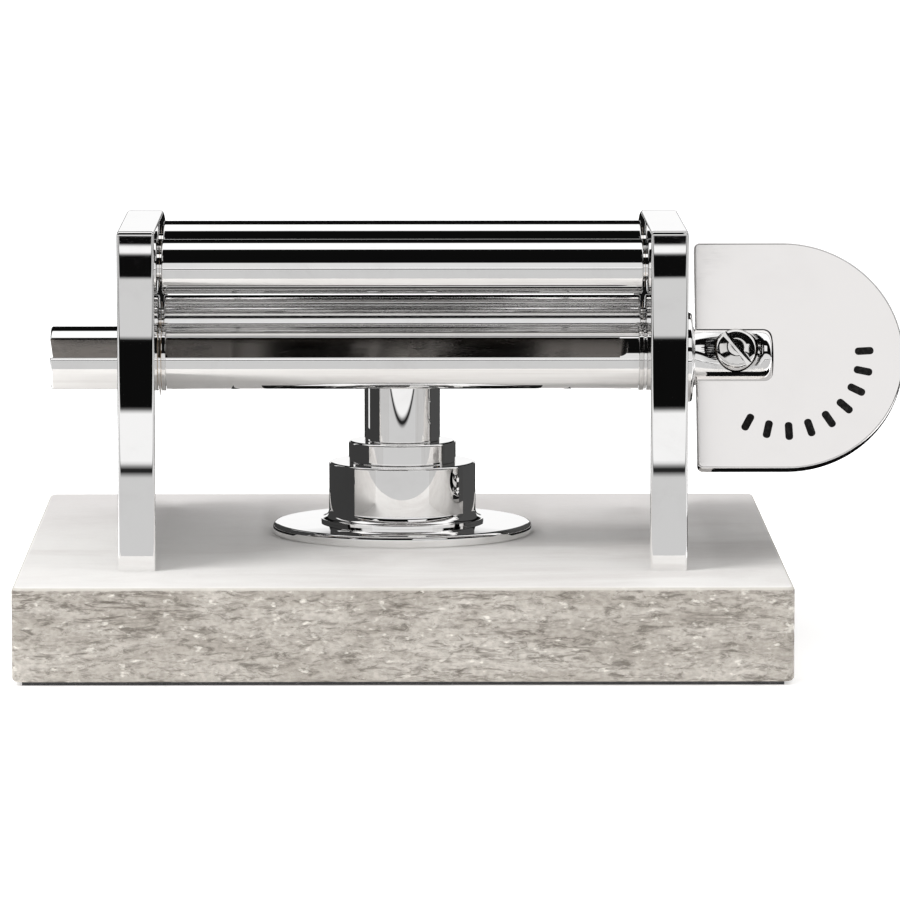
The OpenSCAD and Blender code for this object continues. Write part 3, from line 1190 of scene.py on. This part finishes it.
    def flanged_bush(self, material: Finish) -> None:
        """The right bush, whose flange shows between the plate and the key.

        Args:
            material: its finish.
        """
        low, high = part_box("right_shaft_bush")
        y, z = axis_of("shaft_turn")
        flange, bore, body = (high.z - low.z) / 2, self.radius + self.bush_play, self.bush_d / 2
        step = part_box("right_side_plate")[1].x
        profile = rounded([
            (low.x, bore, 0.0), (low.x, body, 0.15 * MM), (step, body, 0.0), (step, flange, 0.2 * MM),
            (high.x, flange, self.bush_edge), (high.x, bore, self.bush_edge / 2),
            (low.x + 0.01 * MM, bore, 0.0),
        ])
        bush = turned("flanged_bush", profile, Axis.X, (0.0, y, z), material)
        fit(bush, Body.ROOT, Slot.CHROME, "right_shaft_bush")


@dataclass
class WindingKey:
    """The flat D-shaped key, its row of marks and the screw that clamps it."""

    shaft: WindingShaft
    width: float = 43.3 * MM
    height: float = 49.8 * MM
    thickness: float = 2.6 * MM
    corner: float = 1.2 * MM
    edge: float = 0.4 * MM
    left: float = 61.0 * MM
    hole_d: float = 4.4 * MM
    marks: int = 9
    mark_ring: float = 16.7 * MM
    mark_from: float = -118.0
    mark_to: float = 3.0
    mark_l: float = 3.9 * MM
    mark_w: float = 1.6 * MM
    mark_t: float = 0.06 * MM
    head_d: float = 8.8 * MM
    head_t: float = 3.0 * MM
    dome: float = 1.3 * MM
    shank_d: float = 4.0 * MM
    shank_l: float = 4.3 * MM
    nick: float = 1.2 * MM
    nick_t: float = 1.3 * MM
    nick_turn: float = -52.0

    def build(self, finishes: Finishes) -> None:
        """Makes the key, its marks and its screw.

        Args:
            finishes: the machine's finishes.
        """
        self.blade(finishes.key)
        self.row_of_marks(finishes.enamel)
        self.screw(finishes.steel)

    def middle(self) -> float:
        """The X of the centre of the key's round end."""
        return self.left + self.width - self.height / 2

    def outline(self, inset: float) -> list[Point]:
        """The key's outline in X and Z, counter-clockwise from its round end's foot.

        Args:
            inset: how far the outline lies inside the key's own.

        Returns:
            The points.
        """
        half, c = self.height / 2, self.corner
        end = arc((self.middle(), 0.0), half - inset, -90, 90, 120)
        top = arc((self.left + c, half - c), c - inset, 90, 180, 8)
        foot = arc((self.left + c, -half + c), c - inset, 180, 270, 8)
        return end + top + foot

    def blade(self, material: Finish) -> None:
        """The key's plate.

        Args:
            material: its finish.
        """
        shell = Shell()
        half = self.thickness / 2
        rows = layers(-half, half, self.edge)
        loops = [shell.loop([(x, depth, z) for x, z in self.outline(inset)]) for depth, inset in rows]
        shell.stack(loops)
        hole = circle((self.shaft.screw_x, 0.0), self.hole_d / 2, 64)
        mouths = [shell.loop([(x, depth, z) for x, z in hole]) for depth in (-half, half)]
        shell.wall(*mouths)
        shell.cap(loops[0], [mouths[0]])
        shell.cap(loops[-1], [mouths[1]])
        blade = shell.piece("key_blade", material)
        fit(place_mesh(blade, self.shaft.rest()), Body.SHAFT, Slot.KEY, "winding_key")

    def row_of_marks(self, material: Finish) -> None:
        """Short black marks round the key's face, by which its turn is read.

        Args:
            material: their finish.
        """
        recipe = Recipe(
            "key_marks_recipe",
            {
                "Count": ("NodeSocketInt", self.marks),
                "Radius": ("NodeSocketFloat", self.mark_ring),
                "Start": ("NodeSocketFloat", math.radians(self.mark_from)),
                "Sweep": ("NodeSocketFloat", math.radians(self.mark_to - self.mark_from)),
                "Length": ("NodeSocketFloat", self.mark_l),
                "Width": ("NodeSocketFloat", self.mark_w),
                "Thickness": ("NodeSocketFloat", self.mark_t),
                "Round": ("NodeSocketFloat", 0.45 * self.mark_w),
                "Material": ("NodeSocketMaterial", material),
            },
        )
        path = recipe.add(
            "GeometryNodeCurveArc",
            {"Resolution": "Count", "Radius": "Radius", "Start Angle": "Start", "Sweep Angle": "Sweep"},
        )
        spots = recipe.add("GeometryNodeCurveToPoints", {"Curve": path.outputs[0]}, mode="EVALUATED")
        bar = recipe.add(
            "GeometryNodeCurvePrimitiveQuadrilateral", {"Width": "Length", "Height": "Width"}
        )
        soft = recipe.add(
            "GeometryNodeFilletCurve", {"Curve": bar.outputs[0], "Radius": "Round", "Count": 5}, mode="POLY"
        )
        flat = recipe.add("GeometryNodeFillCurve", {"Curve": soft.outputs[0]}, mode="NGONS")
        thick = recipe.add(
            "GeometryNodeExtrudeMesh", {"Mesh": flat.outputs[0], "Offset Scale": "Thickness"}
        )
        both = recipe.add("GeometryNodeJoinGeometry", {"Geometry": thick.outputs[0]})
        under = recipe.add("GeometryNodeFlipFaces", {"Mesh": flat.outputs[0]})
        recipe.tree.links.new(under.outputs[0], both.inputs[0])
        position = recipe.add("GeometryNodeInputPosition")
        outwards = recipe.add("FunctionNodeAlignRotationToVector", {"Vector": position.outputs[0]}, axis="X")
        placed = recipe.add(
            "GeometryNodeInstanceOnPoints",
            {"Points": spots.outputs[0], "Instance": both.outputs[0], "Rotation": outwards.outputs[0]},
        )
        marks = recipe.make("key_marks", placed.outputs[0])
        face = Matrix(
            (
                (1, 0, 0, self.middle()),
                (0, 0, -1, -self.thickness / 2),
                (0, 1, 0, 0),
                (0, 0, 0, 1),
            )
        )
        fit(place_mesh(marks, self.shaft.rest() @ face), Body.SHAFT, Slot.KEY)

    def screw(self, material: Finish) -> None:
        """The round-headed slotted screw.

        Args:
            material: its finish.
        """
        r, top = self.head_d / 2, self.shaft.seat + self.head_t
        corners: list[Corner] = [
            (-self.shank_l, 0.0, 0.0),
            (-self.shank_l, self.shank_d / 2, 0.3 * MM),
            (self.shaft.seat, self.shank_d / 2, 0.0),
            (self.shaft.seat, r, 0.1 * MM),
            (top - 0.5 * self.dome, r, self.dome),
            (top, 0.45 * r, 1.5 * MM),
            (top, 0.0, 0.0),
        ]
        head = turned("clamp_screw", rounded(corners, 7), Axis.Z, (0.0, 0.0, 0.0), material, 96)
        half, reach = self.nick / 2, r + MM
        groove = [(-reach, -half), (reach, -half), (reach, half), (-reach, half)]
        tool = prism(groove, lambda a, b, d: Vector((a, b, d)), top - self.nick_t, top + MM)
        knife = tool.piece("tool_nick", material)
        place_mesh(knife, Matrix.Rotation(math.radians(self.nick_turn), 4, "Z"))
        cut(head, [knife])
        ease(head, 0.12 * MM)
        lay = Matrix.Translation((self.shaft.screw_x, 0, 0)) @ Matrix.Rotation(math.radians(90), 4, "X")
        fit(place_mesh(head, self.shaft.rest() @ lay), Body.SHAFT, Slot.STEEL, "key_screw")


@dataclass
class CentrePost:
    """The stepped post behind the shaft: flange, hub, collar and stem, each turned."""

    edge: float = 0.55 * MM
    cove: float = 1.8 * MM
    step: float = 0.6 * MM
    crown: float = 0.35 * MM
    crown_round: float = 4.0 * MM
    flat_share: float = 0.62
    rim: float = 0.9 * MM
    foot_edge: float = 0.25 * MM

    def build(self, finishes: Finishes) -> None:
        """Makes the post's four turned pieces.

        Args:
            finishes: the machine's finishes.
        """
        outlines = {
            "post_flange": self.flange,
            "post_hub": self.hub,
            "post_collar": self.drum,
            "post_stem": self.drum,
        }
        for node, outline in outlines.items():
            low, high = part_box(node)
            middle = (low + high) / 2
            piece = turned(
                node.replace("post_", "turned_"),
                outline(low, high),
                Axis.Z,
                (middle.x, middle.y, 0.0),
                finishes.chrome,
                192,
            )
            fit(piece, Body.ROOT, Slot.CHROME, node)

    def flange(self, low: Vector, high: Vector) -> list[Point]:
        """The foot flange, slightly crowned, with a rounded rim."""
        r = (high.x - low.x) / 2
        return rounded([
            (low.z, 0.0, 0.0),
            (low.z, r, self.foot_edge),
            (high.z - self.crown, r, self.rim),
            (high.z, self.flat_share * r, self.crown_round),
            (high.z, 0.0, 0.0),
        ], 8)

    def hub(self, low: Vector, high: Vector) -> list[Point]:
        """The hub, with a cove that flares out at its foot."""
        r = (high.x - low.x) / 2 - self.cove
        cove = arc((low.z + self.step + self.cove, r + self.cove), self.cove, 180, 270, 12)
        head = rounded([(low.z + 4 * self.cove, r, 0.0), (high.z, r, self.edge), (high.z, 0.0, 0.0)], 8)
        return [(low.z, 0.0), (low.z, r + self.cove)] + cove + head

    def drum(self, low: Vector, high: Vector) -> list[Point]:
        """A plain drum with an eased top edge."""
        r = (high.x - low.x) / 2
        return rounded([
            (low.z, 0.0, 0.0), (low.z, r, 0.2 * MM), (high.z, r, self.edge), (high.z, 0.0, 0.0),
        ], 8)


def dress(node: str, material: Finish) -> None:
    """Gives a CAD node that stays its material.

    Args:
        node: the node's name.
        material: its finish.
    """
    obj = frame["nodes"][node]
    obj.data.materials.clear()
    obj.data.materials.append(material)
    log.info("%s: dressed in %s", node, material.name)


@dataclass
class Hardware:
    """The fasteners under the slab and the roller bushes, which keep their CAD shapes."""

    fasteners: tuple[str, ...] = (
        "left_plate_screws",
        "right_plate_screws",
        "plate_screw_washers",
        "post_screw",
        "post_screw_washer",
    )

    def build(self, finishes: Finishes) -> None:
        """Dresses every one.

        Args:
            finishes: the machine's finishes.
        """
        for node in self.fasteners:
            dress(node, finishes.steel)
        for row in ("front", "rear", "lower"):
            for side in Side:
                dress(f"{row}_{side.name.lower()}_bush", finishes.bronze)


# The studio ------------------------------------------------------------------------------


@dataclass
class Band:
    """A stretch of a backdrop: where it starts and how bright it is from there on."""

    start: float
    light: float


@dataclass
class Card:
    """A plain card that only polished metal sees; a turned one faces sideways."""

    name: str
    middle: Corner
    width: float
    height: float
    light: float
    lean: float = 0.0
    turned: bool = False


@dataclass
class Studio:
    """A white floor, soft light, a banded tent that only polished metal sees, and the camera."""

    camera_at: tuple[float, float, float] = (-2.85 * MM, -1397.5 * MM, 198.6 * MM)
    lens: float = 266.08
    pitch: float = 6.527
    yaw: float = 0.53
    tent_radius: float = 3.0
    floor_size: float = 12.0
    floor_reach: float = 1.6
    floor_near: float = 0.082
    lamp_at: tuple[float, float, float] = (-0.62, -0.42, 1.15)
    lamp_power: float = 9.5
    lamp_size: float = 0.5
    tent: list[Band] = field(default_factory=lambda: [
        Band(0, 0.80), Band(21, 0.004), Band(81, 1.12), Band(120, 0.004), Band(169, 1.0), Band(177, 0.3),
    ])
    floor_cards: list[Band] = field(default_factory=lambda: [
        Band(0.0, 0.64), Band(0.387, 0.02), Band(0.409, 0.97), Band(0.539, 0.004), Band(0.750, 0.66),
        Band(0.962, 0.004), Band(1.061, 1.0), Band(1.099, 0.004), Band(1.144, 1.0),
    ])

    cards: list[Card] = field(default_factory=lambda: [
        Card("key_card", (0.266, -0.455, 0.473), 0.36, 0.26, 0.92, 46.5),
        # painted shade: a dark card lying just over the slab right of the right plate, so that the key's
        # lower edge reflects shade
        Card("under_key_shade", (0.095, 0.02, 0.0225), 0.06, 0.14, 0.004),
        Card("floor_behind", (0.0, 1.52, 0.0006), 0.052, 2.86, 0.006),
        Card("floor_behind_left", (-0.775, 1.52, 0.0006), 1.449, 2.86, 0.006),
        Card("floor_behind_right", (0.775, 1.52, 0.0006), 1.449, 2.86, 0.006),
        # painted shadow: a dark card lying just over the slab behind the post, so that the shaft's underside
        # reflects the post's shadow
        Card("slab_back_shade", (0.0, 0.0365, 0.0211), 0.06, 0.083, 0.01),
        # painted shade: dark cards standing inside the machine, so that the plates' inner faces and the
        # roller ends reflect shade
        Card("left_shade_flag", (-0.036, 0.033, 0.040), 0.078, 0.038, 0.045, turned=True),
        Card("right_shade_flag", (0.036, 0.041, 0.040), 0.062, 0.038, 0.07, turned=True),
        # painted highlight: a small bright card inside the machine's left end, seen only in the metal
        Card("left_highlight_strip", (-0.035, 0.0235, 0.049), 0.006, 0.020, 0.95, turned=True),
    ])

    def build(self) -> None:
        """Makes everything round the machine."""
        self.floor()
        self.reflections()
        self.light()
        self.camera()

    def glow(
        self, name: str, bands: Sequence[Band], span: float, value: Callable[[Bench], Socket]
    ) -> Finish:
        """A light-giving material in bands.

        Args:
            name: its name.
            bands: the bands, in order.
            span: the value at which the last band ends.
            value: adds the nodes whose value the bands are counted in.

        Returns:
            The material.
        """
        bench = Bench(name)
        share = bench.maths("DIVIDE", value(bench), span)
        ramp = bench.add("ShaderNodeValToRGB", {0: share})
        stops = ramp.color_ramp.elements
        blend = 0.004
        stops[0].position, stops[1].position = 0.0, 1.0
        stops[0].color = (bands[0].light,) * 3 + (1.0,)
        stops[1].color = (bands[-1].light,) * 3 + (1.0,)
        for before, band in zip(bands, bands[1:]):
            for offset, light in ((-blend, before.light), (blend, band.light)):
                stop = stops.new(band.start / span + offset)
                stop.color = (light,) * 3 + (1.0,)
        emit = bench.add("ShaderNodeEmission", {"Color": ramp.outputs[0], "Strength": 1.0})
        output = bench.tree.nodes["Material Output"]
        bench.tree.links.new(emit.outputs[0], output.inputs["Surface"])
        return bench.material

    def only_reflected(self, obj: Piece) -> None:
        """Shows an object in polished metal and nowhere else."""
        obj.visible_camera = obj.visible_diffuse = obj.visible_shadow = False
        obj.visible_transmission = obj.visible_volume_scatter = False

    def floor(self) -> None:
        """A plain white floor, under the felt."""
        bench = Bench("white_floor")
        bench.set(Base_Color=(0.92, 0.92, 0.92), Roughness=0.9, Specular_IOR_Level=0.1)
        bench.set(Emission_Color=(1.0, 1.0, 1.0), Emission_Strength=0.35)
        size = self.floor_size
        shell = Shell()
        shell.cap(shell.loop([(-size, -size, 0), (size, -size, 0), (size, size, 0), (-size, size, 0)]))
        shell.piece("studio_floor", bench.material)

    def reflections(self) -> None:
        """The tent overhead, the cards on the floor in front, and the loose cards, some of which paint shade
        and a highlight into the metal.
        """
        tent = bpy.data.meshes.new("tent")
        work = bmesh.new()
        bmesh.ops.create_uvsphere(work, u_segments=96, v_segments=64, radius=self.tent_radius)
        work.to_mesh(tent)
        work.free()
        tent_material = self.glow("tent_bands", self.tent, 180.0, self.angle_over)
        tent.materials.append(tent_material)
        obj = bpy.data.objects.new("tent", tent)
        bpy.context.scene.collection.objects.link(obj)
        self.only_reflected(obj)
        reach, near, height = self.floor_reach, self.floor_near, 0.4 * MM
        card_material = self.glow("floor_bands", self.floor_cards, reach, self.distance_in_front)
        shell = Shell()
        corners = ((-reach, -reach), (reach, -reach), (reach, -near), (-reach, -near))
        shell.cap(shell.loop([(x, y, height) for x, y in corners]))
        self.only_reflected(shell.piece("floor_cards", card_material))
        for card in self.cards:
            self.hang(card)

    def hang(self, card: Card) -> None:
        """Hangs one card."""
        shell = Shell()
        lean = math.radians(card.lean)
        reach = Vector((0.0, math.cos(lean), math.sin(lean))) * card.height / 2
        across = Vector((card.width / 2, 0.0, 0.0))
        if card.turned:
            reach = Vector((0.0, 0.0, card.height / 2))
            across = Vector((0.0, card.width / 2, 0.0))
        corners = ((-1, -1), (1, -1), (1, 1), (-1, 1))
        shell.cap(shell.loop([Vector(card.middle) + across * a + reach * b for a, b in corners]))
        material = self.glow(card.name, [Band(0.0, card.light)], 1.0, self.distance_in_front)
        self.only_reflected(shell.piece(card.name, material))

    def angle_over(self, bench: Bench) -> Socket:
        """Adds nodes for the angle in degrees from the front, over the top, to the back."""
        parts = bench.add("ShaderNodeSeparateXYZ", {0: bench.place})
        forward = bench.maths("MULTIPLY", parts.outputs["Y"], -1.0)
        angle = bench.maths("ARCTAN2", parts.outputs["Z"], forward)
        return bench.maths("MULTIPLY", angle, 180 / math.pi)

    def distance_in_front(self, bench: Bench) -> Socket:
        """Adds nodes for the distance in front of the slab's middle."""
        parts = bench.add("ShaderNodeSeparateXYZ", {0: bench.place})
        return bench.maths("MULTIPLY", parts.outputs["Y"], -1.0)

    def light(self) -> None:
        """Even light from all round, and one large soft light from the upper left."""
        scene = bpy.context.scene
        scene.view_settings.view_transform = "Standard"
        world = bpy.data.worlds.new("studio")
        world.use_nodes = True
        sky = world.node_tree.nodes["Background"]
        sky.inputs["Color"].default_value = (1.0, 1.0, 1.0, 1.0)
        sky.inputs["Strength"].default_value = 1.0
        scene.world = world
        lamp = bpy.data.lights.new("soft_box", "AREA")
        lamp.shape, lamp.size, lamp.size_y = "RECTANGLE", self.lamp_size, self.lamp_size
        lamp.energy = self.lamp_power
        obj = bpy.data.objects.new("soft_box", lamp)
        bpy.context.scene.collection.objects.link(obj)
        target = Vector((0.0, 0.0, 0.03))
        obj.location = Vector(self.lamp_at)
        obj.rotation_mode = "QUATERNION"
        obj.rotation_quaternion = (target - obj.location).to_track_quat("-Z", "Y")
        obj.visible_glossy = obj.visible_camera = False

    def camera(self) -> None:
        """The camera, a little above the machine and far in front of it."""
        data = bpy.data.cameras.new("camera")
        data.lens, data.sensor_width = self.lens, 36.0
        data.clip_start, data.clip_end = 0.05, 50.0
        obj = bpy.data.objects.new("camera", data)
        bpy.context.scene.collection.objects.link(obj)
        obj.location = self.camera_at
        obj.rotation_euler = (math.radians(90 - self.pitch), 0.0, math.radians(-self.yaw))
        bpy.context.scene.camera = obj


def main() -> None:
    """Builds the machine's pieces and the studio, in order."""
    logging.basicConfig(level=logging.INFO, format="%(name)s %(message)s")
    finishes = Finishes()
    shaft = WindingShaft()
    for part in (Slab(), SidePlates(), Rollers(), shaft, WindingKey(shaft), CentrePost(), Hardware()):
        part.build(finishes)
    Studio().build()


if __name__ == "__main__":
    main()
